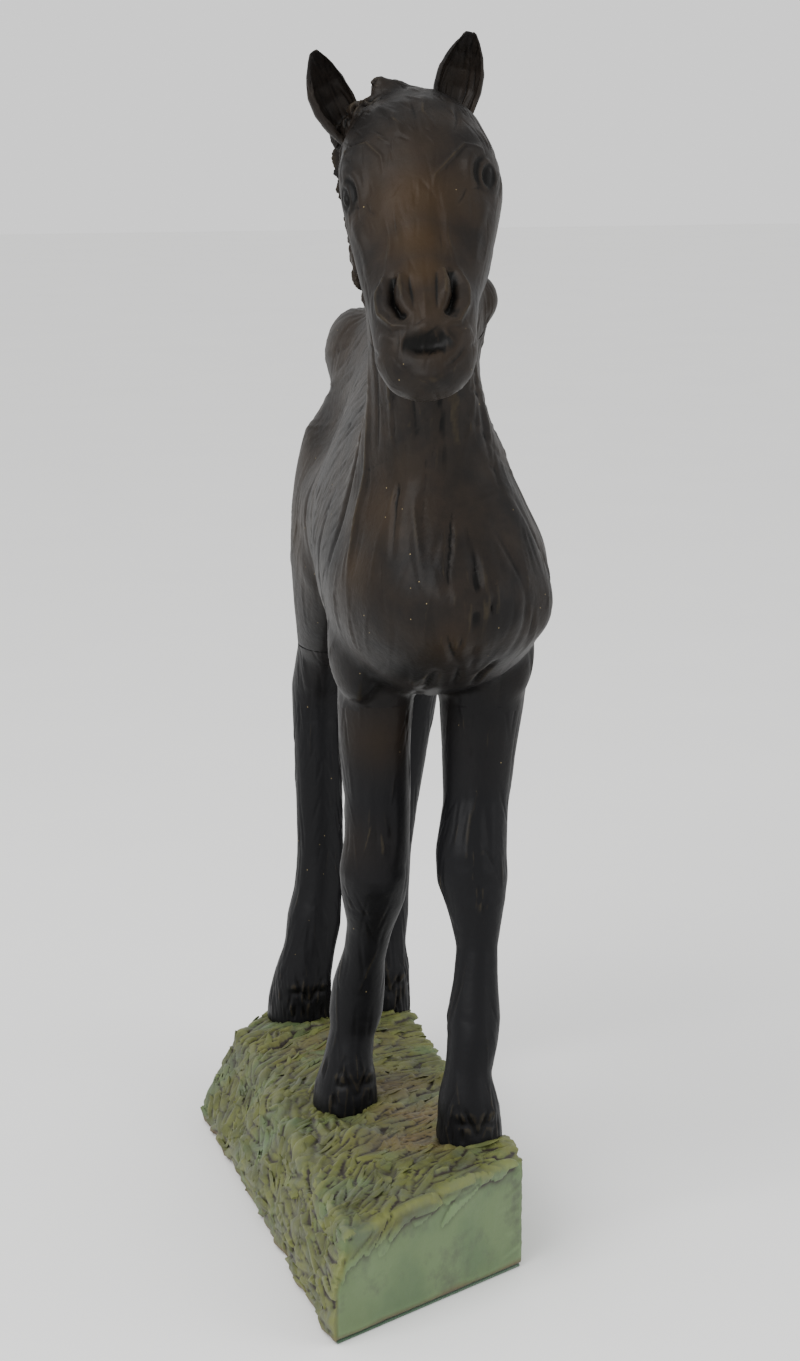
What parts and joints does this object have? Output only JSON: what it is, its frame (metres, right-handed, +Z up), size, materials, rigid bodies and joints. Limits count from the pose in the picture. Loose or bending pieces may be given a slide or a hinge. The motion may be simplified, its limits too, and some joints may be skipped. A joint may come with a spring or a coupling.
{
  "type": "bronze foal statuette",
  "caption": "Standing foal statuette cast in hollow bronze sections, bolted by its hooves to a turf-modelled bronze plinth closed by a padded board.",
  "frame": {"origin": "a point on the pad's underside, midway across the front face and near mid-length of the plinth", "axes": "+Z up, the foal faces -Y, its left side is +X"},
  "size_m": [0.1369, 0.3926, 0.5353],
  "materials": {
    "bronze_dark_patina": "cast bronze with a waxed dark brown patina",
    "bronze_green_patina": "cast bronze with a mottled green patina",
    "zinc_steel": "zinc plated",
    "birch_plywood": "bare",
    "green_baize": "felted wool cloth"
  },
  "bodies": {
    "root": {"base_pad": "green_baize", "board_screw_a": "zinc_steel", "board_screw_b": "zinc_steel", "board_screw_c": "zinc_steel", "board_screw_d": "zinc_steel", "bottom_board": "birch_plywood", "core_plug_1": "bronze_dark_patina", "core_plug_2": "bronze_dark_patina", "ear_left": "bronze_dark_patina", "ear_right": "bronze_dark_patina", "head": "bronze_dark_patina", "hoof_nut_front_left": "zinc_steel", "hoof_nut_front_right": "zinc_steel", "hoof_nut_hind_left": "zinc_steel", "hoof_nut_hind_right": "zinc_steel", "hoof_stud_front_left": "zinc_steel", "hoof_stud_front_right": "zinc_steel", "hoof_stud_hind_left": "zinc_steel", "hoof_stud_hind_right": "zinc_steel", "hoof_washer_front_left": "zinc_steel", "hoof_washer_front_right": "zinc_steel", "hoof_washer_hind_left": "zinc_steel", "hoof_washer_hind_right": "zinc_steel", "leg_front_left": "bronze_dark_patina", "leg_front_right": "bronze_dark_patina", "leg_hind_left": "bronze_dark_patina", "leg_hind_right": "bronze_dark_patina", "neck": "bronze_dark_patina", "plinth_shell": "bronze_green_patina", "tail": "bronze_dark_patina", "torso": "bronze_dark_patina"}
  },
  "joints": []
}
